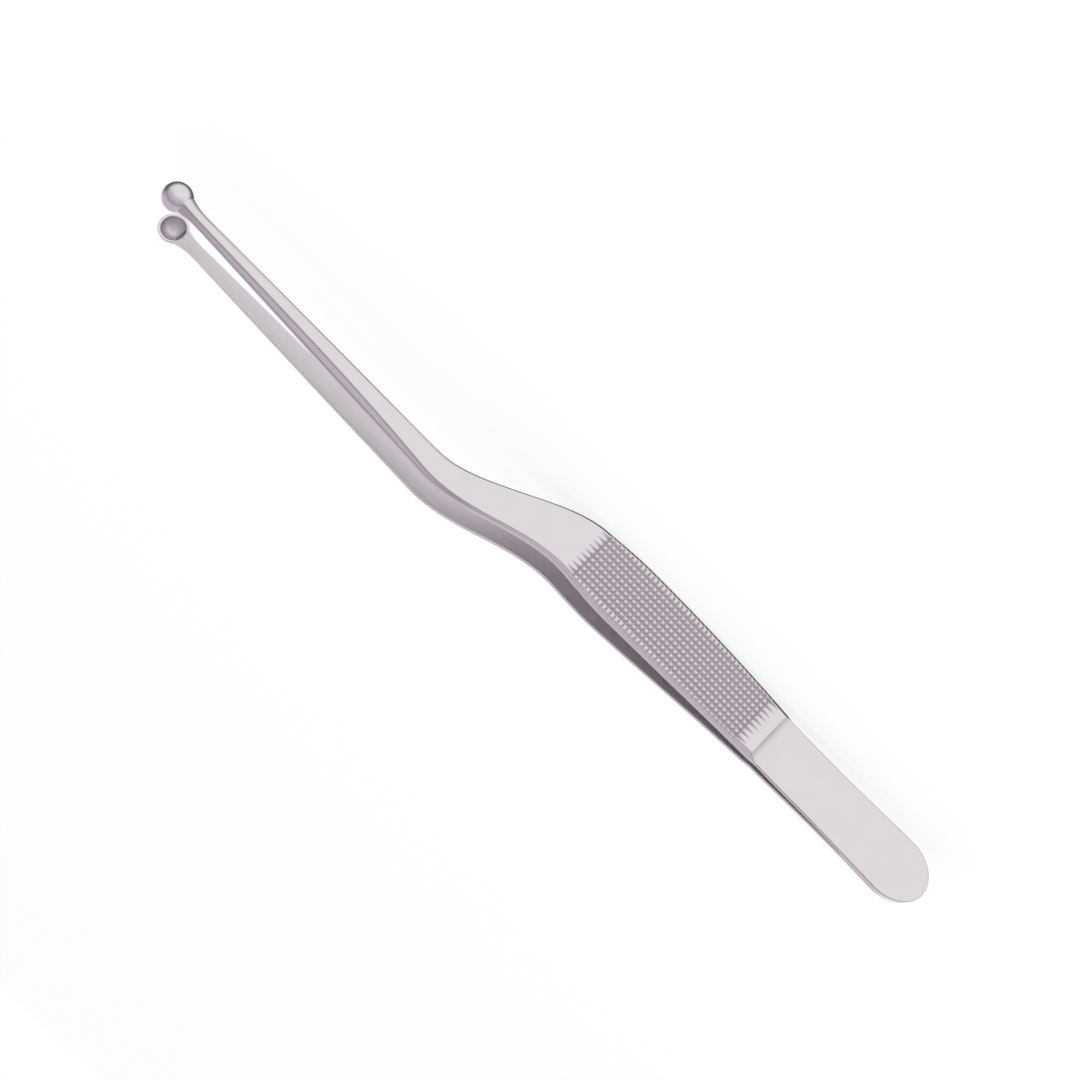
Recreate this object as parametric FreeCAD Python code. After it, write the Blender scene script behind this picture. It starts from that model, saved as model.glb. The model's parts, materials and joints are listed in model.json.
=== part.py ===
import FreeCAD, Part
import os
from math import atan2, degrees
from FreeCAD import Vector

# Bayonet forceps with round cup jaws: two forged blades welded together at the heel.
# Working frame: X from the heel to the cups, Y towards the side that the shank steps to,
# Z the way the blades open, with the weld plane at z = 0. Millimetres throughout.
# The blade is drawn once, on the near side of the weld plane, and mirrored for its partner.

# Places along the blade
WELD_END = 17.0          # front end of the weld that holds the two heels together
LEAF_WAIST = 30.0        # narrowest place of the thin spring leaf
STEP_FOOT = 40.8         # where the leaf starts to thicken
STEP_CREST = STEP_FOOT + 2.7    # where it reaches the thickness of the grip
GRIP_MIDDLE = 82.0       # widest place of the grip
SHOULDER_START = 93.5    # the bayonet step leaves the line of the handle here
SHOULDER_END = 127.0     # and runs straight again here
SHANK_MIDDLE = 150.0
CUP_CENTRE = 196.9
NECK = CUP_CENTRE - 6.9  # narrowest place, just behind the cup

# Widths across the flat faces
HEEL_WIDTH = 12.3
LEAF_WIDTH = 11.5
GRIP_BACK_WIDTH = 12.0
GRIP_WIDTH = 13.8
GRIP_FRONT_WIDTH = 12.2
SHOULDER_WIDTH = 8.35
SHANK_ROOT_WIDTH = 5.5
SHANK_WIDTH = 4.6
NECK_WIDTH = 2.9

# Centre line seen from above
HEEL_ROUND = 8.0         # length of the rounded heel end
LEAF_LEAN = 0.58         # drift of the centre line between heel and step
GRIP_LEAN = 2.1          # further drift over the grip
BAYONET_OFFSET = 9.8     # sideways step of the shank
SHANK_LEAN = 0.4         # the shank comes back by this much at the cup

# Thickness of one blade
HEEL_THICKNESS = 1.3
LEAF_THICKNESS = 1.05
GRIP_THICKNESS = 2.3
SHOULDER_THICKNESS = 2.25
SHANK_THICKNESS = 1.95
NECK_THICKNESS = 1.5

# Bow of the blade: height of its inner face over the weld plane
BOW_STEP = 1.2
BOW_GRIP = 4.1
BOW_GRIP_FRONT = 4.8
BOW_SHOULDER = 5.15
BOW_SHANK = 6.5
BOW_CUP = 7.8

# Outer face: crowned, with a bevel along both edges above an upright side wall
GRIP_CROWN = 0.1
SHANK_CROWN = 0.12
GRIP_BEVEL = 0.9
SHOULDER_BEVEL = 0.45
SHANK_BEVEL = 1.35
NECK_BEVEL = 0.85
SHOULDER_SIDE = 1.65
SHANK_SIDE = 1.1
NECK_SIDE = 0.75

# Cup jaw
CUP_DIAMETER = 6.4
CUP_WALL = 0.58

# Serrated grip
TOOTH_PITCH = 1.13       # along the grip
TOOTH_ROWS = 10
ROW_PITCH = 1.2          # across it
GROOVE_DEPTH = 0.5
TOOTH_LAND = 0.04        # tooth points stay this far below the ground face
FIRST_GROOVE = 47.8
LAST_GROOVE = 91.8
RUN_OUT = 2.5            # length over which the long grooves rise out of the face

# Pose at rest: the forceps lies on its side, on the back edges of both grips, with the
# shank stepping upwards
BALANCE = 81.8           # place of the grip that lies under the centre of mass

HINGE_PLACE = WELD_END
CLOSED_RIM_GAP = 0.1     # left between the cup rims when the blades are squeezed shut


def smooth_curve(points):
    """Smooth function of x through a few (x, value) points, level beyond its ends."""
    xs = [p[0] for p in points]
    ys = [p[1] for p in points]
    steps = [(ys[i + 1] - ys[i]) / (xs[i + 1] - xs[i]) for i in range(len(xs) - 1)]
    slopes = [steps[0]]
    for before, after in zip(steps, steps[1:]):
        same_way = before * after > 0
        slopes.append(2 * before * after / (before + after) if same_way else 0.0)
    slopes.append(steps[-1])

    def value(x):
        if x <= xs[0]:
            return ys[0] + slopes[0] * (x - xs[0])
        if x >= xs[-1]:
            return ys[-1] + slopes[-1] * (x - xs[-1])
        i = max(k for k in range(len(xs) - 1) if xs[k] <= x)
        span = xs[i + 1] - xs[i]
        t = (x - xs[i]) / span
        rise = (3 - 2 * t) * t * t
        return (ys[i] * (1 - rise) + ys[i + 1] * rise
                + span * slopes[i] * t * (1 - t) ** 2
                - span * slopes[i + 1] * t * t * (1 - t))

    return value


def ease(x, start, end):
    t = min(max((x - start) / (end - start), 0.0), 1.0)
    return (3 - 2 * t) * t * t


def centre(x):
    """Centre line of the blade seen from above."""
    y = LEAF_LEAN * ease(x, HEEL_ROUND, STEP_CREST)
    y += GRIP_LEAN * ease(x, STEP_CREST, SHOULDER_START + STEP_CREST / 2)
    y += BAYONET_OFFSET * ease(x, SHOULDER_START, SHOULDER_END)
    return y - SHANK_LEAN * ease(x, SHOULDER_END, CUP_CENTRE)


SHOULDER_MIDDLE = (SHOULDER_START + SHOULDER_END) / 2

width = smooth_curve([
    (HEEL_ROUND, HEEL_WIDTH), (LEAF_WAIST, LEAF_WIDTH), (STEP_FOOT, LEAF_WIDTH),
    (STEP_CREST, GRIP_BACK_WIDTH), (GRIP_MIDDLE, GRIP_WIDTH), (SHOULDER_START, GRIP_FRONT_WIDTH),
    (SHOULDER_MIDDLE, SHOULDER_WIDTH),
    (SHOULDER_END, SHANK_ROOT_WIDTH), (SHANK_MIDDLE, SHANK_WIDTH), (NECK, NECK_WIDTH)])

bow = smooth_curve([
    (WELD_END, HEEL_THICKNESS - LEAF_THICKNESS), (STEP_FOOT, BOW_STEP),
    (GRIP_MIDDLE, BOW_GRIP), (SHOULDER_START, BOW_GRIP_FRONT),
    (SHOULDER_MIDDLE, BOW_SHOULDER), (SHANK_MIDDLE, BOW_SHANK), (CUP_CENTRE, BOW_CUP)])

thickness = smooth_curve([
    (STEP_FOOT, GRIP_THICKNESS), (GRIP_MIDDLE, GRIP_THICKNESS),
    (SHOULDER_MIDDLE, SHOULDER_THICKNESS), (SHANK_MIDDLE, SHANK_THICKNESS),
    (NECK, NECK_THICKNESS)])

side_wall = smooth_curve([
    (STEP_FOOT, LEAF_THICKNESS), (GRIP_MIDDLE, LEAF_THICKNESS),
    (SHOULDER_MIDDLE, SHOULDER_SIDE), (SHANK_MIDDLE, SHANK_SIDE), (NECK, NECK_SIDE)])

bevel = smooth_curve([
    (STEP_FOOT, GRIP_BEVEL), (GRIP_MIDDLE, GRIP_BEVEL),
    (SHOULDER_MIDDLE, SHOULDER_BEVEL), (SHANK_MIDDLE, SHANK_BEVEL), (NECK, NECK_BEVEL)])

crown = smooth_curve([
    (STEP_FOOT, GRIP_CROWN), (SHOULDER_START, GRIP_CROWN),
    (SHOULDER_END, SHANK_CROWN), (NECK, SHANK_CROWN)])


def outer_height(x, y):
    """Height of the crowned outer face."""
    flank = width(x) / 2 - bevel(x)
    return bow(x) + thickness(x) - crown(x) * ((y - centre(x)) / flank) ** 2


def leaf_section(x):
    half = width(x) / 2
    low = bow(x)
    high = low + LEAF_THICKNESS
    corners = [Vector(x, centre(x) - half, low), Vector(x, centre(x) - half, high),
               Vector(x, centre(x) + half, high), Vector(x, centre(x) + half, low)]
    return Part.makePolygon(corners + corners[:1])


def forged_section(x):
    """Flat inner face, upright sides, a bevel on each side and a crowned top."""
    half = width(x) / 2
    flank = half - bevel(x)
    low = bow(x)
    side = low + side_wall(x)
    crest = low + thickness(x)
    edge = crest - crown(x)
    y = centre(x)
    back = [Vector(x, y - half, low), Vector(x, y - half, side), Vector(x, y - flank, edge)]
    front = [Vector(x, y + flank, edge), Vector(x, y + half, side), Vector(x, y + half, low)]
    arc = Part.Arc(back[-1], Vector(x, y, crest), front[0]).toShape()
    lines = [Part.makeLine(a, b) for a, b in zip(back, back[1:])]
    lines += [arc] + [Part.makeLine(a, b) for a, b in zip(front, front[1:])]
    return Part.Wire(lines + [Part.makeLine(front[-1], back[0])])


def quarter_round(start, middle, end):
    """Quarter ellipse from start to end, its tangents meeting at middle."""
    curve = Part.BezierCurve()
    reach = 0.5523
    curve.setPoles([start, start + (middle - start) * reach, end + (middle - end) * reach, end])
    return curve.toShape()


def heel_plate():
    """Flat rounded heel with its half of the weld, up to the front end of the weld."""
    half = HEEL_WIDTH / 2
    end_half = width(WELD_END) / 2
    tip = Vector(0, 0, 0)
    back = Vector(HEEL_ROUND, -half, 0)
    front = Vector(HEEL_ROUND, half, 0)
    end_back = Vector(WELD_END, centre(WELD_END) - end_half, 0)
    end_front = Vector(WELD_END, centre(WELD_END) + end_half, 0)
    outline = Part.Wire([quarter_round(back, Vector(0, -half, 0), tip),
                         quarter_round(tip, Vector(0, half, 0), front),
                         Part.makeLine(front, end_front), Part.makeLine(end_front, end_back),
                         Part.makeLine(end_back, back)])
    return Part.Face(outline).extrude(Vector(0, 0, HEEL_THICKNESS))


def spring_leaf():
    places = [WELD_END + (STEP_FOOT - WELD_END) * k / 4 for k in range(5)]
    return Part.makeLoft([leaf_section(x) for x in places], True, False)


def forging():
    """Grip, bayonet shoulder and shank in one loft that ends inside the cup wall."""
    places = []
    for start, end, spans in ((STEP_FOOT, SHOULDER_START, 6), (SHOULDER_START, SHOULDER_END, 8),
                              (SHOULDER_END, NECK, 6)):
        places += [start + (end - start) * k / spans for k in range(spans)]
    places += [NECK, CUP_CENTRE - CUP_DIAMETER / 4]
    return Part.makeLoft([forged_section(x) for x in places], True, False)


def step_relief():
    """What is ground away above the leaf: a hollow ramp between leaf and grip."""
    foot_z = bow(STEP_FOOT) + LEAF_THICKNESS
    crest_z = bow(STEP_CREST) + GRIP_THICKNESS
    foot = Vector(STEP_FOOT, -HEEL_WIDTH, foot_z)
    crest = Vector(STEP_CREST, -HEEL_WIDTH, crest_z)
    sag = Vector(STEP_FOOT * 0.4 + STEP_CREST * 0.6, -HEEL_WIDTH,
                 foot_z * 0.68 + crest_z * 0.32)
    above = crest_z + GRIP_THICKNESS
    corners = [crest, Vector(STEP_CREST, -HEEL_WIDTH, above),
               Vector(STEP_FOOT - 1, -HEEL_WIDTH, above),
               Vector(STEP_FOOT - 1, -HEEL_WIDTH, foot_z), foot]
    ramp = Part.Arc(foot, sag, crest).toShape()
    edges = [Part.makeLine(a, b) for a, b in zip(corners, corners[1:])]
    return Part.Face(Part.Wire(edges + [ramp])).extrude(Vector(0, 2 * HEEL_WIDTH, 0))


def tooth_mould():
    """Faceted counter-shape of the grip: pointed teeth between crossed V grooves.

    Every groove crossing is a low point and every tooth a peak in the middle of its cell.
    The long grooves rise out of the face at both ends of the grip.
    """
    half = TOOTH_PITCH / 2
    half_row = ROW_PITCH / 2
    count = int(round((LAST_GROOVE - FIRST_GROOVE) / TOOTH_PITCH))
    xs = [FIRST_GROOVE + k * TOOTH_PITCH for k in range(count + 1)]
    asides = [(row - TOOTH_ROWS / 2) * ROW_PITCH for row in range(1, TOOTH_ROWS)]
    slope = (centre(xs[-1]) - centre(xs[0])) / (xs[-1] - xs[0])
    outside = asides[-1] + GRIP_WIDTH / 4
    top = bow(xs[-1]) + 2 * GRIP_THICKNESS

    def point(x, aside, depth):
        y = centre(xs[0]) + slope * (x - xs[0]) + aside
        return Vector(x, y, outer_height(x, y) - depth)

    def low(x, aside):
        return point(x, aside, GROOVE_DEPTH)

    def peak(x, aside):
        return point(x, aside, TOOTH_LAND)

    def rim(x, aside):
        return point(x, aside, -TOOTH_LAND)

    faces = []

    def facet(*corners):
        faces.append(Part.Face(Part.makePolygon(list(corners) + [corners[0]])))

    def wall(*foot):
        facet(*foot, *[Vector(p.x, p.y, top) for p in reversed(foot)])

    for x, after in zip(xs, xs[1:]):
        for near, far in zip(asides, asides[1:]):
            tooth = peak(x + half, near + half_row)
            ring = [low(x, near), low(after, near), low(after, far), low(x, far)]
            for a, b in zip(ring, ring[1:] + ring[:1]):
                facet(a, b, tooth)
        for side in (-1, 1):
            inner, outer = side * asides[-1], side * outside
            tooth, ridge = peak(x + half, inner + side * half_row), peak(x + half, outer)
            facet(low(x, inner), low(after, inner), tooth)
            for end in (x, after):
                facet(low(end, inner), tooth, ridge)
                facet(low(end, inner), ridge, low(end, outer))
            wall(low(x, outer), ridge, low(after, outer))

    outline = []
    for x, way in ((xs[0], -1), (xs[-1], 1)):
        ridge_x, tip_x = x + way * half, x + way * RUN_OUT
        ends = [rim(ridge_x, -outside)]
        for aside in asides:
            ends += [rim(ridge_x, aside - half_row), rim(tip_x, aside)]
            facet(low(x, aside), rim(ridge_x, aside - half_row), rim(tip_x, aside))
            facet(low(x, aside), rim(ridge_x, aside + half_row), rim(tip_x, aside))
        ends += [rim(ridge_x, asides[-1] + half_row), rim(ridge_x, outside)]
        for near, far in zip(asides, asides[1:]):
            facet(low(x, near), low(x, far), rim(ridge_x, near + half_row))
        for side in (-1, 1):
            inner, outer = side * asides[-1], side * outside
            shared = rim(ridge_x, inner + side * half_row)
            facet(low(x, inner), shared, rim(ridge_x, outer))
            facet(low(x, inner), rim(ridge_x, outer), low(x, outer))
            wall(low(x, outer), rim(ridge_x, outer))
        for a, b in zip(ends, ends[1:]):
            wall(a, b)
        outline.append(ends)

    def side_line(side):
        places = [p for x in xs[:-1] for p in (x, x + half)] + [xs[-1]]
        return [point(x, side * outside, 0) for x in places]

    loop = outline[0][::-1] + side_line(-1) + outline[1] + side_line(1)[::-1]
    facet(*[Vector(p.x, p.y, top) for p in loop])
    shell = Part.makeShell(faces)
    shell.sewShape()
    return Part.makeSolid(shell)


def closing_angle():
    """Swing about the front end of the weld that brings the cup rims together."""
    return 2 * degrees(atan2(BOW_CUP - CLOSED_RIM_GAP / 2, CUP_CENTRE - HINGE_PLACE))


def in_cup(shape):
    """Lean a shape drawn about the cup centre so that the rims meet flat when shut."""
    shape.rotate(Vector(0, 0, 0), Vector(0, 1, 0), -closing_angle() / 2)
    shape.translate(Vector(CUP_CENTRE, centre(CUP_CENTRE), BOW_CUP))
    return shape


def cup_dome():
    radius = CUP_DIAMETER / 2
    return in_cup(Part.makeSphere(radius, Vector(0, 0, 0), Vector(0, 0, 1), 0, 90, 360))


def cup_hollow():
    radius = CUP_DIAMETER / 2 - CUP_WALL
    return in_cup(Part.makeSphere(radius))


def blade():
    body = heel_plate().fuse(spring_leaf())
    body = body.fuse(forging().cut(step_relief()))
    body = body.fuse(cup_dome()).cut(cup_hollow())
    return body.cut(tooth_mould())


def rest_lean():
    """Slope of the grip's back edge where the forceps balances on it."""
    behind, ahead = BALANCE - TOOTH_PITCH, BALANCE + TOOTH_PITCH
    rise = centre(ahead) - width(ahead) / 2 - centre(behind) + width(behind) / 2
    return degrees(atan2(rise, ahead - behind))


def at_rest(shape):
    """Turn from the working frame to the pose in which the forceps lies, Y pointing up."""
    shape = shape.copy()
    shape.rotate(Vector(0, 0, 0), Vector(0, 0, 1), -rest_lean())
    shape.rotate(Vector(0, 0, 0), Vector(1, 0, 0), 90)
    return shape


def build():
    near = blade()
    far = near.mirror(Vector(0, 0, 0), Vector(0, 0, 1))
    nodes = {"near_blade": at_rest(near), "far_blade": at_rest(far)}
    box = Part.makeCompound(list(nodes.values())).BoundBox
    origin = Vector((box.XMin + box.XMax) / 2, (box.YMin + box.YMax) / 2, box.ZMin)
    for shape in nodes.values():
        shape.translate(origin * -1)
    hinge = at_rest(Part.Vertex(HINGE_PLACE, 0, 0)).Point
    hinge_axis = at_rest(Part.Vertex(HINGE_PLACE, 1, 0)).Point - hinge
    heel_face = at_rest(Part.Vertex(HEEL_ROUND, 0, -HEEL_THICKNESS)).Point
    face_normal = heel_face - at_rest(Part.Vertex(HEEL_ROUND, 0, 1 - HEEL_THICKNESS)).Point
    print("origin in the working frame, turned", origin, "lean", round(rest_lean(), 4))
    print("hinge at", hinge - origin, "axis", hinge_axis, "closes by", closing_angle())
    print("heel face at", heel_face - origin, "normal", face_normal)
    return nodes


os.makedirs("parts", exist_ok=True)
for name, shape in build().items():
    shape.exportStep("parts/" + name + ".step")
    print(name, shape.isValid(), len(shape.Solids), "solid", round(shape.Volume, 1), "mm3")
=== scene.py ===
import json
import math
import bmesh
import bpy
import numpy as np
from mathutils import Matrix, Vector


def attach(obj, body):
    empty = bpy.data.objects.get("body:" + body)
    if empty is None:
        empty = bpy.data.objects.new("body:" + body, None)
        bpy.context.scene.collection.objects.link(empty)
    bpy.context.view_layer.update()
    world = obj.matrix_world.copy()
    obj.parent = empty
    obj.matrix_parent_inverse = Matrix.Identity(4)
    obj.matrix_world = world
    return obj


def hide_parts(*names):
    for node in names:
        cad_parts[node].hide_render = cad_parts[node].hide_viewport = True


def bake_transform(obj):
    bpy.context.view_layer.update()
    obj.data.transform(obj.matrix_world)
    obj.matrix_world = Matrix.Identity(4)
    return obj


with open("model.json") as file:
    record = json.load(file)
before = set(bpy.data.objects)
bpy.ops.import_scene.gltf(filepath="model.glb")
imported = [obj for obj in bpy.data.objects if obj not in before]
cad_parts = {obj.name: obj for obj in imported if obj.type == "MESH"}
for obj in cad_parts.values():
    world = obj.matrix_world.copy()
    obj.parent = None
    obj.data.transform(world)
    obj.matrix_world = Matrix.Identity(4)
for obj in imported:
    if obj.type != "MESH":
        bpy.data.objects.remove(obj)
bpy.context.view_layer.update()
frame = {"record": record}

# Sizes of the forceps in millimetres, in the frame in which it was drawn: x from the heel to
# the cups, y to the side that the shank steps to, z the way the blades open.

# Places along the blade
HEEL_ROUND = 8.0
WELD_END = 17.0
BLADES_PART = 1e-4       # how far in front of the weld the first free section stands
LEAF_WAIST = 30.0
STEP_FOOT = 40.8
STEP_CREST = STEP_FOOT + 2.7
GRIP_REST = 81.8         # the back edge of the grip touches the ground here
GRIP_MIDDLE = 82.0
SHOULDER_START = 93.5
SHOULDER_END = 127.0
SHOULDER_MIDDLE = (SHOULDER_START + SHOULDER_END) / 2
SHANK_MIDDLE = 150.0
FLARE = 187.0            # from here the neck widens into the cup
FLARE_LENGTH = 7.2
NECK = 190.0
CUP_CENTRE = 196.72

# Sideways drift of the centre line over each stretch
LEAF_LEAN = 0.58
GRIP_LEAN = 2.1
BAYONET_OFFSET = 9.8
SHANK_LEAN = 0.22

# Widths
HEEL_WIDTH = 12.3
LEAF_WIDTH = 11.5
GRIP_BACK_WIDTH = 12.0
GRIP_WIDTH = 13.8
GRIP_FRONT_WIDTH = 12.2
SHOULDER_WIDTH = 8.35
SHANK_ROOT_WIDTH = 5.5
SHANK_WIDTH = 4.6
NECK_WIDTH = 2.9

# Thicknesses
HEEL_THICKNESS = 1.3
LEAF_THICKNESS = 1.05
GRIP_THICKNESS = 2.3
SHOULDER_THICKNESS = 2.25
SHANK_THICKNESS = 1.95
NECK_THICKNESS = 1.5

# Upright sides, the width of the bevels above them, and the crown of the outer face
SHOULDER_SIDE = 1.65
SHANK_SIDE = 1.1
NECK_SIDE = 0.75
GRIP_BEVEL = 0.9
SHOULDER_BEVEL = 0.45
SHANK_BEVEL = 1.35
NECK_BEVEL = 0.85
GRIP_CROWN = 0.1
SHANK_CROWN = 0.12

# How far the inner face bows away from the other blade
BOW_STEP = 1.2
BOW_GRIP = 4.1
BOW_GRIP_FRONT = 4.8
BOW_SHOULDER = 5.15
BOW_SHANK = 6.5
BOW_CUP = 7.5

CUP_RADIUS = 3.2
CUP_WALL = 0.58
CLOSING_ANGLE = 4.9335   # degrees that the near blade turns until the cups meet
RIM_GAP = 0.05           # from each rim of the solids to the middle when the cups meet
SKIN_GAP = 0.03          # from each inner face to the middle when the cups meet

# Roundings, seen in the cross section
HEEL_EDGE = 0.2          # round end of the heel
LEAF_EDGE = 0.16         # narrow slope between the leaf's side and its face
SEAM_ROUND = 0.012       # inner edges of the heels, which the weld closes
INNER_ROUND = 0.13       # inner edges from the weld on
LEAF_ROUND = 0.1
SIDE_ROUND = 0.32        # foot of the bevel
RIDGE_ROUND = 0.17       # crest of the bevel
LIP_ROUND = 0.13         # rim of the cup
LARGEST_SHARE = 0.45     # of a side that the rounding of one corner may take
SHARP_ANGLE = 35         # degrees from which an edge is drawn sharp

# Forms: the higher the number, the later a slope rises
STEP_FORM = 1.45
NECK_WIDENS, WIDENING_FORM = 0.62, 4.5
NECK_RISES, RISING_FORM = 0.83, 3.6

# Grip serration: rows of small pyramids between crossed grooves
TOOTH_PITCH = 1.13
ROW_PITCH = 1.2
GROOVE_DEPTH = 0.5
TOOTH_FLAT = 0.05
TOOTH_FORM = 2.4         # 1 would be round heaps, a high number sharp pyramids
TIP_ROUND = 0.2
FIRST_GROOVE = 47.8
LAST_GROOVE = 91.8
RUN_OUT = 3.2
SERRATION_START = FIRST_GROOVE - RUN_OUT
SERRATION_END = LAST_GROOVE + RUN_OUT
LONG_GROOVES = 9
UNCUT = 0.3              # the grooves leave the blade alone this near its inner face

# How many points a cross section has on each of its stretches
CORNER_POINTS = 5
SIDE_POINTS = 2
BEVEL_POINTS = 4
TOOTH_POINTS = 8
TOP_POINTS = (LONG_GROOVES + 1) * TOOTH_POINTS + 1
UNDER_POINTS = 12
BACK_POINTS = 3 * CORNER_POINTS + SIDE_POINTS + BEVEL_POINTS
CUP_SEGMENTS = 72
MERGE_DISTANCE = 1e-7    # metres between points that are one

# The points of the outer face gather on the rows of teeth, and spread evenly past them
GATHER_START = STEP_CREST - 2.0
GATHER_END = STEP_CREST + 1.5
SPREAD_END = SERRATION_END + 4.0
POINT_GAP = 0.004        # the least distance from the face's edge to its next point

# What is marked on the skin for its finish and its painted shade: depth of the grooves, inner
# faces, edges that get dark lines of painted shade
MARKS = ("groove", "inner", "edge")

# The edges of the shank that get thin dark lines of painted shade, for the dark reflections along
# them: the place of their first point in a cross section, and how dark each of their points is
SHANK_EDGES = (
    (CORNER_POINTS + SIDE_POINTS, (1.0, 1.0, 1.0, 1.0, 1.0, 0.4)),
    (BACK_POINTS + TOP_POINTS, (0.25, 0.65, 0.85, 0.65, 0.25)),
    (BACK_POINTS + TOP_POINTS + CORNER_POINTS + BEVEL_POINTS, (0.1, 0.35, 0.5, 0.35, 0.1)))


def smooth_curve(*points):
    """Smooth function of x through a few (x, value) points, level at its turning points."""
    xs = [p[0] for p in points]
    ys = [p[1] for p in points]
    steps = [(ys[i + 1] - ys[i]) / (xs[i + 1] - xs[i]) for i in range(len(xs) - 1)]
    slopes = [steps[0]]
    for before, after in zip(steps, steps[1:]):
        slopes.append(2 * before * after / (before + after) if before * after > 0 else 0.0)
    slopes.append(steps[-1])

    def value(x):
        if x <= xs[0]:
            return ys[0] + slopes[0] * (x - xs[0])
        if x >= xs[-1]:
            return ys[-1] + slopes[-1] * (x - xs[-1])
        i = max(k for k in range(len(xs) - 1) if xs[k] <= x)
        span = xs[i + 1] - xs[i]
        t = (x - xs[i]) / span
        rise = (3 - 2 * t) * t * t
        bend = slopes[i] * t * (1 - t) ** 2 - slopes[i + 1] * t * t * (1 - t)
        return ys[i] * (1 - rise) + ys[i + 1] * rise + span * bend

    return value


def ease(x, start, end):
    t = min(max((x - start) / (end - start), 0.0), 1.0)
    return (3 - 2 * t) * t * t


def centre(x):
    """Centre line of the blade, seen on its flat side."""
    y = LEAF_LEAN * ease(x, HEEL_ROUND, STEP_CREST)
    y += GRIP_LEAN * ease(x, STEP_CREST, SHOULDER_START + STEP_CREST / 2)
    y += BAYONET_OFFSET * ease(x, SHOULDER_START, SHOULDER_END)
    return y - SHANK_LEAN * ease(x, SHOULDER_END, CUP_CENTRE)


width = smooth_curve(
    (HEEL_ROUND, HEEL_WIDTH), (LEAF_WAIST, LEAF_WIDTH), (STEP_FOOT, LEAF_WIDTH),
    (STEP_CREST, GRIP_BACK_WIDTH), (GRIP_MIDDLE, GRIP_WIDTH), (SHOULDER_START, GRIP_FRONT_WIDTH),
    (SHOULDER_MIDDLE, SHOULDER_WIDTH), (SHOULDER_END, SHANK_ROOT_WIDTH),
    (SHANK_MIDDLE, SHANK_WIDTH), (NECK, NECK_WIDTH))
bow = smooth_curve(
    (WELD_END, HEEL_THICKNESS - LEAF_THICKNESS), (STEP_FOOT, BOW_STEP), (GRIP_MIDDLE, BOW_GRIP),
    (SHOULDER_START, BOW_GRIP_FRONT), (SHOULDER_MIDDLE, BOW_SHOULDER),
    (SHANK_MIDDLE, BOW_SHANK), (CUP_CENTRE, BOW_CUP))
thickness = smooth_curve(
    (STEP_FOOT, GRIP_THICKNESS), (GRIP_MIDDLE, GRIP_THICKNESS),
    (SHOULDER_MIDDLE, SHOULDER_THICKNESS), (SHANK_MIDDLE, SHANK_THICKNESS),
    (NECK, NECK_THICKNESS))
side_wall = smooth_curve(
    (STEP_FOOT, LEAF_THICKNESS), (GRIP_MIDDLE, LEAF_THICKNESS),
    (SHOULDER_MIDDLE, SHOULDER_SIDE), (SHANK_MIDDLE, SHANK_SIDE), (NECK, NECK_SIDE))
bevel = smooth_curve(
    (STEP_FOOT, GRIP_BEVEL), (GRIP_MIDDLE, GRIP_BEVEL), (SHOULDER_MIDDLE, SHOULDER_BEVEL),
    (SHANK_MIDDLE, SHANK_BEVEL), (NECK, NECK_BEVEL))
crown = smooth_curve(
    (STEP_FOOT, GRIP_CROWN), (SHOULDER_START, GRIP_CROWN), (SHOULDER_END, SHANK_CROWN),
    (NECK, SHANK_CROWN))

CUP_SIDE = centre(CUP_CENTRE)
CUP_HEIGHT = bow(CUP_CENTRE)
CUP_LEAN = math.atan2(CUP_HEIGHT - RIM_GAP, CUP_CENTRE - WELD_END)


def meeting(x):
    """Height of the plane in which the two blades meet when they are squeezed shut."""
    return (x - WELD_END) * math.tan(math.radians(CLOSING_ANGLE / 2)) + SKIN_GAP


def grip_line(x):
    """Middle line of the serration, straight from its first groove to its last."""
    slope = (centre(LAST_GROOVE) - centre(FIRST_GROOVE)) / (LAST_GROOVE - FIRST_GROOVE)
    return centre(FIRST_GROOVE) + slope * (x - FIRST_GROOVE)


def groove_depth(x, y):
    """How deep the serration is cut at each point of one cross line of the grip."""
    count = round((LAST_GROOVE - FIRST_GROOVE) / TOOTH_PITCH)
    nearest = min(max(round((x - FIRST_GROOVE) / TOOTH_PITCH), 0), count)
    across = max(1 - abs(x - FIRST_GROOVE - nearest * TOOTH_PITCH) * 2 / TOOTH_PITCH, 0.0)
    aside = y - grip_line(x)
    row = np.clip(np.round(aside / ROW_PITCH), -(LONG_GROOVES // 2), LONG_GROOVES // 2)
    beyond = max(FIRST_GROOVE - x, x - LAST_GROOVE, 0.0) / RUN_OUT
    along = np.maximum(1 - np.abs(aside - row * ROW_PITCH) * 2 / ROW_PITCH - beyond, 0.0)
    both = (across ** TOOTH_FORM + along ** TOOTH_FORM) ** (1 / TOOTH_FORM)
    rounded = np.sqrt(both ** 2 + TIP_ROUND ** 2) - TIP_ROUND
    land = TOOTH_FLAT if FIRST_GROOVE < x < LAST_GROOVE else 0.0
    return np.minimum(land + (GROOVE_DEPTH - land) * rounded, GROOVE_DEPTH)


def heel_rim(x, aside):
    """Height of the heel's face, rounded off where it comes near the round end."""
    half = HEEL_WIDTH / 2
    back = 1 - x / HEEL_ROUND
    out = np.hypot(back, aside / half)
    steep = np.hypot(back / HEEL_ROUND, aside / half ** 2) / np.maximum(out, 1e-6)
    inside = np.clip((1 - out) / np.maximum(steep, 1e-6), 0, HEEL_EDGE)
    fall = HEEL_EDGE ** 2 - (HEEL_EDGE - inside) ** 2
    return HEEL_THICKNESS - HEEL_EDGE + np.sqrt(np.maximum(fall, 0))


def step_face(x):
    """Height of the hollow ramp that rises from the leaf to the grip."""
    foot = bow(STEP_FOOT) + LEAF_THICKNESS
    rise = bow(STEP_CREST) + GRIP_THICKNESS - foot
    return foot + rise * ((x - STEP_FOOT) / (STEP_CREST - STEP_FOOT)) ** STEP_FORM


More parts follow.
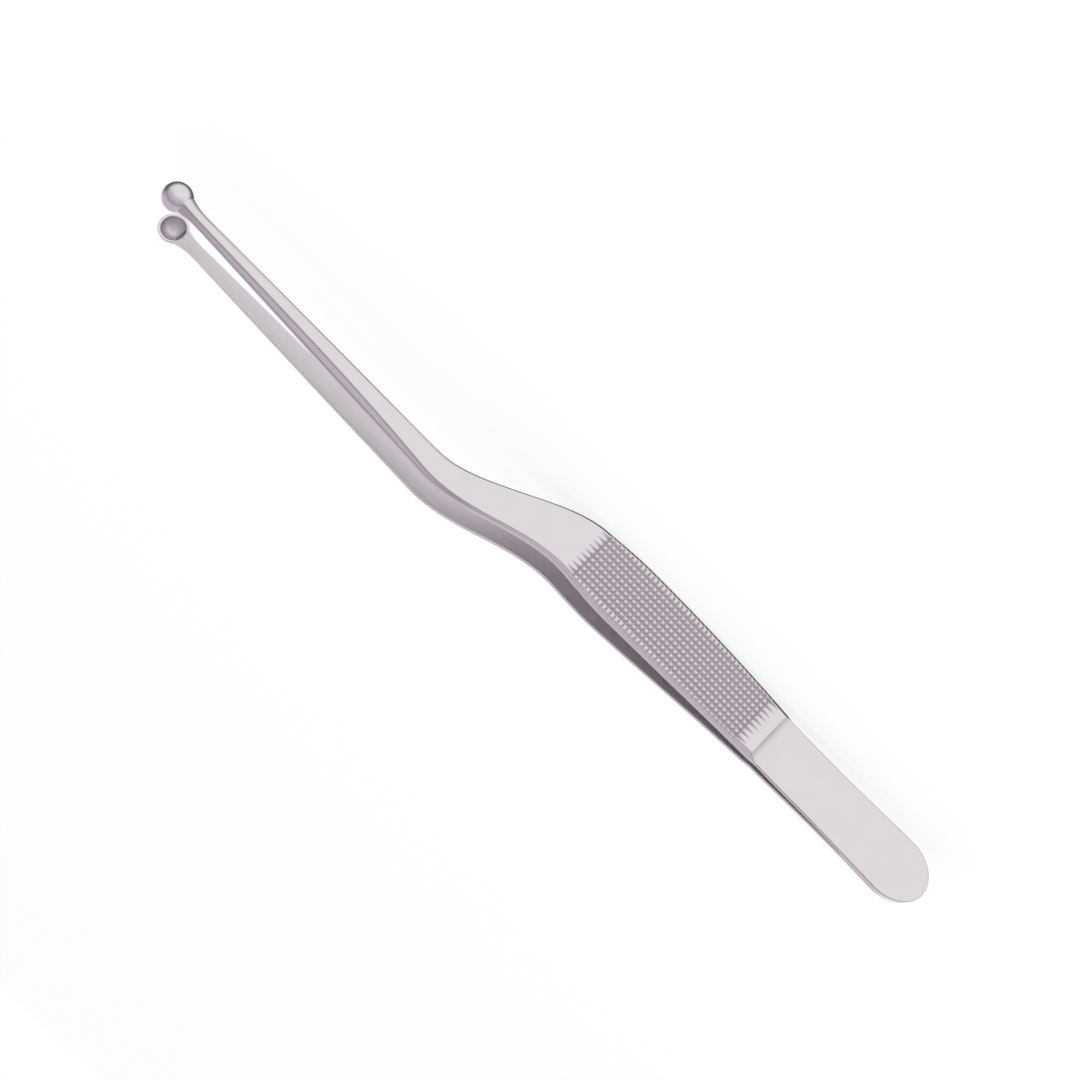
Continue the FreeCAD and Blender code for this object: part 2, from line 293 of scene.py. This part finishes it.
def softened(corner, before, after, reach):
    """A corner turned into a short curve, which takes less than half of each side."""
    to_before, to_after = before - corner, after - corner
    start = corner + to_before * min(reach / max(np.hypot(*to_before), 1e-9), LARGEST_SHARE)
    end = corner + to_after * min(reach / max(np.hypot(*to_after), 1e-9), LARGEST_SHARE)
    t = np.linspace(0, 1, CORNER_POINTS)[:, None]
    return start * (1 - t) ** 2 + 2 * corner * t * (1 - t) + end * t * t


def between(a, b, count):
    t = np.linspace(0, 1, count + 2)[1:-1, None]
    return a * (1 - t) + b * t


def section(x):
    """One cross section of the blade as (y, z) points round its outline, and their marks."""
    base = 0.0 if x <= WELD_END else bow(x)
    y = centre(x)
    half = width(x) / 2
    if x < HEEL_ROUND:
        half = HEEL_WIDTH / 2 * math.sqrt(max(1 - (1 - x / HEEL_ROUND) ** 2, 0.0))
    if x < STEP_FOOT:
        crest = HEEL_THICKNESS if x <= WELD_END else base + LEAF_THICKNESS
        flank, side, dip = half - min(LEAF_EDGE, half * 0.4), crest - LEAF_EDGE, 0.0
        side_round, ridge_round = LEAF_ROUND, LEAF_ROUND
    else:
        crest = base + thickness(x)
        flank, side, dip = half - bevel(x), base + side_wall(x), crown(x)
        side_round, ridge_round = SIDE_ROUND, RIDGE_ROUND
    inner_round = SEAM_ROUND if x <= WELD_END else INNER_ROUND

    def face(across):
        """Height of the crowned outer face."""
        return crest - dip * ((across - y) / flank) ** 2

    a, b, c, d, e, f = [np.array(p) for p in (
        (y - half, base), (y - half, side), (y - flank, crest - dip),
        (y + flank, crest - dip), (y + half, side), (y + half, base))]
    back = [softened(a, f, b, inner_round), between(a, b, SIDE_POINTS),
            softened(b, a, c, side_round), between(b, c, BEVEL_POINTS),
            softened(c, b, d, ridge_round)]
    front = [softened(d, c, e, ridge_round), between(d, e, BEVEL_POINTS),
             softened(e, d, f, side_round), between(e, f, SIDE_POINTS),
             softened(f, e, a, inner_round)]

    first, last = back[-1][-1, 0], front[0][0, 0]
    spread = np.linspace(first, last, TOP_POINTS + 2)[1:-1]
    rows = grip_line(x) + (np.arange(TOP_POINTS) - TOP_POINTS // 2) * ROW_PITCH / TOOTH_POINTS
    rows = np.clip(rows, first + POINT_GAP, last - POINT_GAP)
    in_grip = ease(x, GATHER_START, GATHER_END) * (1 - ease(x, SERRATION_END, SPREAD_END))
    ys = spread * (1 - in_grip) + rows * in_grip
    top = np.column_stack([ys, face(ys)])
    ring = np.concatenate(back + [top] + front + [between(f, a, UNDER_POINTS)])

    if x < HEEL_ROUND:
        ring[:, 1] = np.minimum(ring[:, 1], heel_rim(x, ring[:, 0] - y))
    if STEP_FOOT <= x < STEP_CREST:
        ring[:, 1] = np.minimum(ring[:, 1], step_face(x))
    marks = np.zeros((len(ring), len(MARKS)))
    if SERRATION_START < x < SERRATION_END:
        above = ring[:, 1] - face(ring[:, 0]) + groove_depth(x, ring[:, 0])
        cut = np.where(ring[:, 1] > base + UNCUT, np.maximum(above, 0.0), 0.0)
        ring[:, 1] -= cut
        # The depth of the cut, which the steel turns into painted shade in the grooves.
        marks[:, 0] = cut / GROOVE_DEPTH
    # Inner faces between the blades: rougher, and painted a little darker as shade.
    if x > WELD_END + BLADES_PART:
        marks[-UNDER_POINTS:, 1] = 1.0
    # Painted shade: thin dark lines along the shank's edges, for the dark reflections there.
    for start, shades in SHANK_EDGES:
        marks[start:start + len(shades), 2] = shades
    marks[:, 2] *= ease(x, SHOULDER_START, SHOULDER_END)
    return ring, marks


def stations():
    """Places of the sections along the blade, close together where the form is fine."""
    fine = TOOTH_PITCH / TOOTH_POINTS
    start = FIRST_GROOVE - fine * 26
    end = LAST_GROOVE + fine * 26
    return np.concatenate([
        HEEL_ROUND * (1 - np.cos(np.radians(np.linspace(2, 90, 24)))),
        np.linspace(HEEL_ROUND, WELD_END, 8)[1:],
        [WELD_END + BLADES_PART],
        np.linspace(WELD_END, STEP_FOOT - 0.3, 24)[1:],
        np.linspace(STEP_FOOT - 0.02, STEP_CREST, 20),
        np.linspace(STEP_CREST + 0.1, start - fine, 8),
        start + fine * np.arange(round((end - start) / fine) + 1),
        np.linspace(end, SHOULDER_END, 48)[1:],
        np.linspace(SHOULDER_END, FLARE, 50)[1:]])


def forged_body():
    """Points, marks and faces of the blade from its heel to the inside of the cup's wall."""
    rings, marks = [], []
    for x in stations():
        ring, ring_marks = section(x)
        rings.append(np.column_stack([np.full(len(ring), x), ring]))
        marks.append(ring_marks)
    reach = CUP_RADIUS - CUP_WALL / 2
    for s in np.linspace(0, 1, 24)[1:]:
        x = FLARE + s * FLARE_LENGTH
        ring, ring_marks = section(x)
        ys = CUP_SIDE + (ring[:, 0] - centre(x)) * (1 + NECK_WIDENS * s ** WIDENING_FORM)
        ys += (centre(x) - CUP_SIDE) * (1 - s)
        zs = bow(x) + (ring[:, 1] - bow(x)) * (1 + NECK_RISES * s ** RISING_FORM)
        inside = reach ** 2 - (ys - CUP_SIDE) ** 2 - (zs - CUP_HEIGHT) ** 2
        end = CUP_CENTRE - np.sqrt(np.maximum(inside, 0.5))
        rings.append(np.column_stack([FLARE + s * (end - FLARE), ys, zs]))
        marks.append(ring_marks)
    size = len(rings[0])
    points = np.concatenate(rings)
    forward = points[:, 0] > SHANK_MIDDLE
    points[forward, 2] = np.maximum(points[forward, 2], meeting(points[forward, 0]))
    faces = []
    for start in range(0, len(points) - size, size):
        for j in range(size):
            k = (j + 1) % size
            faces.append((start + j, start + k, start + size + k, start + size + j))
    faces.append(tuple(range(size)))
    faces.append(tuple(range(len(points) - 1, len(points) - size - 1, -1)))
    return points, np.concatenate(marks), faces


def cup_bowl():
    """Hollow half ball with a rounded rim, leaning so that the two rims meet flat."""
    outer, inner = CUP_RADIUS, CUP_RADIUS - CUP_WALL
    rim = meeting(CUP_CENTRE) - CUP_HEIGHT + LIP_ROUND
    rim_outer = math.sqrt(outer ** 2 - rim ** 2)
    rim_inner = math.sqrt(inner ** 2 - rim ** 2)
    profile = [(outer * math.sin(t), outer * math.cos(t))
               for t in np.linspace(0, math.acos(rim / outer), 30)]
    profile += [(rim_outer - LIP_ROUND * (1 - math.cos(t)), rim - LIP_ROUND * math.sin(t))
                for t in np.radians(np.linspace(15, 90, 5))]
    profile += [(rim_inner + LIP_ROUND * (1 - math.cos(t)), rim - LIP_ROUND * math.sin(t))
                for t in np.radians(np.linspace(90, 15, 5))]
    profile += [(inner * math.sin(t), inner * math.cos(t))
                for t in np.linspace(math.acos(rim / inner), 0, 26)]
    points, faces = [], []
    size = len(profile)
    for k in range(CUP_SEGMENTS):
        angle = 2 * math.pi * k / CUP_SEGMENTS
        points += [(r * math.cos(angle), r * math.sin(angle), z) for r, z in profile]
        start, after = k * size, (k + 1) % CUP_SEGMENTS * size
        faces += [(start + j, start + j + 1, after + j + 1, after + j) for j in range(size - 1)]
    x, y, z = np.array(points).T
    c, s = math.cos(CUP_LEAN), math.sin(CUP_LEAN)
    points = np.column_stack([x * c - z * s + CUP_CENTRE, y + CUP_SIDE,
                              x * s + z * c + CUP_HEIGHT])
    marks = np.zeros((len(points), len(MARKS)))
    # The cup's hollow is marked inner: rougher, and painted a little darker as shade.
    marks[:, 1] = [math.hypot(r, z) < inner + 0.01 for r, z in profile] * CUP_SEGMENTS
    return points, marks, faces


# The pose at rest: the drawing turned so that the forceps lies on the back edges of its grips
behind, ahead = GRIP_REST - TOOTH_PITCH, GRIP_REST + TOOTH_PITCH
LEAN = math.atan2(centre(ahead) - width(ahead) / 2 - centre(behind) + width(behind) / 2,
                  ahead - behind)
turn = Matrix.Rotation(math.pi / 2, 4, "X") @ Matrix.Rotation(-LEAN, 4, "Z")
hinge = Vector(frame["record"]["behaviour"]["joints"][0]["pos_m"])
to_rest = (Matrix.Translation(hinge - turn @ Vector((WELD_END / 1000, 0, 0))) @ turn
           @ Matrix.Scale(0.001, 4))


def make_blade(name, mirrored):
    """Skin of one forged blade with its cup, as a single mesh in the pose at rest."""
    body, body_marks, faces = forged_body()
    cup, cup_marks, cup_faces = cup_bowl()
    faces += [tuple(i + len(body) for i in face) for face in cup_faces]
    points = np.concatenate([body, cup])
    marks = np.concatenate([body_marks, cup_marks]).astype(np.float32)
    if mirrored:
        points[:, 2] *= -1
        faces = [face[::-1] for face in faces]
    turned = np.column_stack([points, np.ones(len(points))]) @ np.array(to_rest).T
    mesh = bpy.data.meshes.new(name)
    mesh.from_pydata(turned[:, :3].tolist(), [], faces)
    for label, values in zip(MARKS, marks.T):
        layer = mesh.attributes.new(label, "FLOAT", "POINT")
        layer.data.foreach_set("value", values.copy())
    blade = bpy.data.objects.new(name, mesh)
    bpy.context.scene.collection.objects.link(blade)
    bm = bmesh.new()
    bm.from_mesh(mesh)
    bmesh.ops.remove_doubles(bm, verts=bm.verts, dist=MERGE_DISTANCE)
    bmesh.ops.recalc_face_normals(bm, faces=bm.faces)
    bm.to_mesh(mesh)
    bm.free()
    mesh.shade_smooth()
    mesh.set_sharp_from_angle(angle=math.radians(SHARP_ANGLE))
    return blade


near_blade = make_blade("near_blade_skin", False)
far_blade = make_blade("far_blade_skin", True)
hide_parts("near_blade")
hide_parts("far_blade")

# Patterns of the finish, in millimetres
GRAIN = 1 / 3            # the real grain is about 0.05 wide, drawn coarser so that it shows
GRAIN_HEIGHT = 0.02
PATCH = 4.545            # width of the soft patches that grinding by hand leaves

SATIN_ROUGHNESS = (0.19, 0.29)
BLASTED_ROUGHER = 0.13

# Numbers of the mix node's colour sockets, whose names it uses more than once
FACTOR, FIRST, SECOND, MIXED = 0, 6, 7, 2


def linear(code):
    """Linear colour from an sRGB hex code."""
    parts = [int(code[i:i + 2], 16) / 255 for i in (1, 3, 5)]
    return [c / 12.92 if c <= 0.04045 else ((c + 0.055) / 1.055) ** 2.4 for c in parts] + [1.0]


def node(tree, kind, sockets=None, **settings):
    """Add a node with its settings. Each socket gets a value or another node's output."""
    made = tree.nodes.new(kind)
    for key, value in settings.items():
        setattr(made, key, value)
    for key, value in (sockets or {}).items():
        if isinstance(value, bpy.types.NodeSocket):
            tree.links.new(value, made.inputs[key])
        else:
            made.inputs[key].default_value = value
    return made


def blade_steel():
    """Stainless surgical steel, ground and polished by hand to a satin that mirrors softly.

    The inner faces and the cups are blasted, which makes them duller; their colour is a little
    darker as painted shade between the blades and in the hollow. The grooves of the grip are
    painted grey with their depth as painted shade, and the shank's edges get fine dark lines
    of painted shade.
    """
    material = bpy.data.materials.new("Satin stainless steel")
    material.use_nodes = True
    tree = material.node_tree
    place = node(tree, "ShaderNodeTexCoord").outputs["Object"]
    grain, patches = [
        node(tree, "ShaderNodeTexNoise", {"Vector": place, "Scale": 1000 / size,
                                          "Detail": detail}).outputs["Fac"]
        for size, detail in ((GRAIN, 2.0), (PATCH, 3.0))]
    groove, inner, edge = [
        node(tree, "ShaderNodeAttribute", attribute_name=mark).outputs["Fac"] for mark in MARKS]
    speckle = node(tree, "ShaderNodeMapRange", {"Value": grain, "From Min": 0.3,
                                                "From Max": 0.7})
    # Painted shade: the grooves of the grip darken with their depth.
    groove_shade = node(tree, "ShaderNodeMapRange", {"Value": groove, "From Min": 0.25})
    # Inner faces and the cup's hollow: grain speckle, painted a little darker as shade.
    speckled_inner_shade = node(tree, "ShaderNodeMix", {FACTOR: speckle.outputs[0], FIRST: linear("#D4CFD3"),
                                           SECOND: linear("#DBD6DA")}, data_type="RGBA")
    colour = linear("#DDD8DB")
    # Over the base: lighter grinding patches, then painted shade in the grooves, dark lines of
    # painted shade on the shank's edges, and the inner faces' painted shade.
    for share, tone in ((patches, linear("#E3DEE0")), (groove_shade.outputs[0], linear("#B0A9B1")),
                        (edge, linear("#867E88")), (inner, speckled_inner_shade.outputs[MIXED])):
        colour = node(tree, "ShaderNodeMix", {FACTOR: share, FIRST: colour, SECOND: tone},
                      data_type="RGBA").outputs[MIXED]
    satin = node(tree, "ShaderNodeMapRange", {"Value": patches, "To Min": SATIN_ROUGHNESS[0],
                                              "To Max": SATIN_ROUGHNESS[1]})
    rough = node(tree, "ShaderNodeMath", {0: inner, 1: BLASTED_ROUGHER, 2: satin.outputs[0]},
                 operation="MULTIPLY_ADD")
    bumps = node(tree, "ShaderNodeBump", {"Height": grain, "Strength": 0.05,
                                          "Distance": GRAIN_HEIGHT / 1000})
    shader = tree.nodes["Principled BSDF"]
    shader.inputs["Metallic"].default_value = 1.0
    tree.links.new(colour, shader.inputs["Base Color"])
    tree.links.new(rough.outputs[0], shader.inputs["Roughness"])
    tree.links.new(bumps.outputs[0], shader.inputs["Normal"])
    return material


steel = blade_steel()
for blade in (near_blade, far_blade):
    blade.data.materials.append(steel)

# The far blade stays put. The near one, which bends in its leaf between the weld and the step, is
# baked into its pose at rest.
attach(far_blade, "far")
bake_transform(near_blade)

# Studio. The panel is a white screen that the flat outer faces mirror towards the camera. The
# tones are seen in reflections only, above and below the panel's middle line, each with its
# angle in degrees from the middle of the panel.
PANEL = Vector((0, -0.945, -0.33))
PANEL_UP = Vector((0, -0.33, 0.945))
UPPER_TONES = (
    (0, "#FFFFFF"), (24, "#FFFEFE"), (47, "#DAD2DF"), (66, "#CFC8D1"), (75, "#C4BCC6"),
    (86, "#A098A3"), (104, "#DAD0DB"), (180, "#D2CBD5"))
LOWER_TONES = (
    (0, "#FFFFFF"), (62, "#FFFFFF"), (80, "#B2AAB4"), (97, "#454048"), (116, "#857E88"),
    (138, "#FFFFFF"), (158, "#FBF8FA"), (180, "#D2CBD5"))
WHITE = (1, 1, 1, 1)
WHITE_SHARE = 0.8        # how far the paper is lifted to plain white where it is seen


def pale_floor():
    """Plain matt white paper: white where it is seen, with the soft shadow on it.

    Reflected rays pass it, so the steel shows the studio and not the floor.
    """
    material = bpy.data.materials.new("White paper floor")
    material.use_nodes = True
    tree = material.node_tree
    tree.nodes.clear()
    paper = node(tree, "ShaderNodeBsdfDiffuse", {"Color": linear("#F4F3F4")})
    white = node(tree, "ShaderNodeEmission", {"Color": WHITE, "Strength": 1.0})
    path = node(tree, "ShaderNodeLightPath")
    seen = node(tree, "ShaderNodeMath", {0: path.outputs["Is Camera Ray"],
                                         1: path.outputs["Is Transmission Ray"]},
                operation="ADD", use_clamp=True)
    share = node(tree, "ShaderNodeMath", {0: seen.outputs[0], 1: WHITE_SHARE}, operation="MULTIPLY")
    mixed = node(tree, "ShaderNodeMixShader", {0: share.outputs[0], 1: paper.outputs[0],
                                               2: white.outputs[0]})
    clear = node(tree, "ShaderNodeBsdfTransparent")
    shown = node(tree, "ShaderNodeMixShader", {0: path.outputs["Is Glossy Ray"],
                                               1: mixed.outputs[0], 2: clear.outputs[0]})
    node(tree, "ShaderNodeOutputMaterial", {"Surface": shown.outputs[0]})
    return material


def backdrop():
    """White to the eye. Reflections show a white panel in front that fades to lilac grey."""
    world = bpy.data.worlds.new("Studio")
    bpy.context.scene.world = world
    world.use_nodes = True
    tree = world.node_tree
    tree.nodes.clear()
    way = node(tree, "ShaderNodeTexCoord").outputs["Generated"]
    to_panel, to_above = [
        node(tree, "ShaderNodeVectorMath", {0: way, 1: axis}, operation="DOT_PRODUCT")
        for axis in (PANEL, PANEL_UP)]
    near = node(tree, "ShaderNodeMapRange", {"Value": to_panel.outputs["Value"],
                                             "From Min": -1.0})
    above = node(tree, "ShaderNodeMapRange", {"Value": to_above.outputs["Value"],
                                              "From Min": -0.1, "From Max": 0.45})
    halves = []
    for tones in (LOWER_TONES, UPPER_TONES):
        ramp = node(tree, "ShaderNodeValToRGB", {0: near.outputs[0]})
        ramp.color_ramp.interpolation = "EASE"
        stops = ramp.color_ramp.elements
        while len(stops) < len(tones):
            stops.new(0.5)
        for stop, (angle, colour) in zip(stops, reversed(tones)):
            stop.position = (math.cos(math.radians(angle)) + 1) / 2
            stop.color = linear(colour)
        halves.append(ramp.outputs["Color"])
    tone = node(tree, "ShaderNodeMix", {FACTOR: above.outputs[0], FIRST: halves[0],
                                        SECOND: halves[1]}, data_type="RGBA")
    room = node(tree, "ShaderNodeBackground", {"Color": tone.outputs[MIXED], "Strength": 1.0})
    white = node(tree, "ShaderNodeBackground", {"Color": WHITE, "Strength": 1.0})
    path = node(tree, "ShaderNodeLightPath")
    mixed = node(tree, "ShaderNodeMixShader", {0: path.outputs["Is Glossy Ray"],
                                               1: white.outputs[0], 2: room.outputs[0]})
    node(tree, "ShaderNodeOutputWorld", {"Surface": mixed.outputs[0]})


def key_lamp():
    """Soft round lamp above and in front, which reflections don't show."""
    light = bpy.data.lights.new("key lamp", "AREA")
    light.shape = "DISK"
    light.size = 0.9
    light.energy = 3.0
    lamp = bpy.data.objects.new("key lamp", light)
    lamp.location = (-0.3, -0.6, 1.2)
    lamp.rotation_euler = (-lamp.location).to_track_quat("-Z", "Y").to_euler()
    lamp.visible_glossy = False
    bpy.context.scene.collection.objects.link(lamp)
    return lamp


bpy.ops.mesh.primitive_plane_add(size=60.0, location=(0, 0, 0))
floor = bpy.context.object
floor.name = "floor"
floor.data.materials.append(pale_floor())
backdrop()
key = key_lamp()

# Camera, as far from the forceps and at the same angle as in the photograph. Its place and its
# turn are in the frame of the drawing, and the picture's sizes are in its own pixels.
EYE = Vector((92.31, 135.37, 388.88))
TURN = Vector((-1.1741281, 2.7616701, -0.4629527))
PICTURE_HALF = 540
PICTURE_LENGTH = 2100
camera = bpy.data.objects.new("camera", bpy.data.cameras.new("camera"))
bpy.context.scene.collection.objects.link(camera)
looking = Matrix.Rotation(-TURN.length, 4, TURN.normalized()) @ Matrix.Rotation(math.pi, 4, "X")
camera.matrix_world = Matrix.Translation(to_rest @ EYE) @ turn @ looking
camera.data.angle = 2 * math.atan(PICTURE_HALF / PICTURE_LENGTH)
camera.data.clip_start = 0.01
bpy.context.scene.camera = camera
bpy.context.scene.view_settings.view_transform = "Standard"
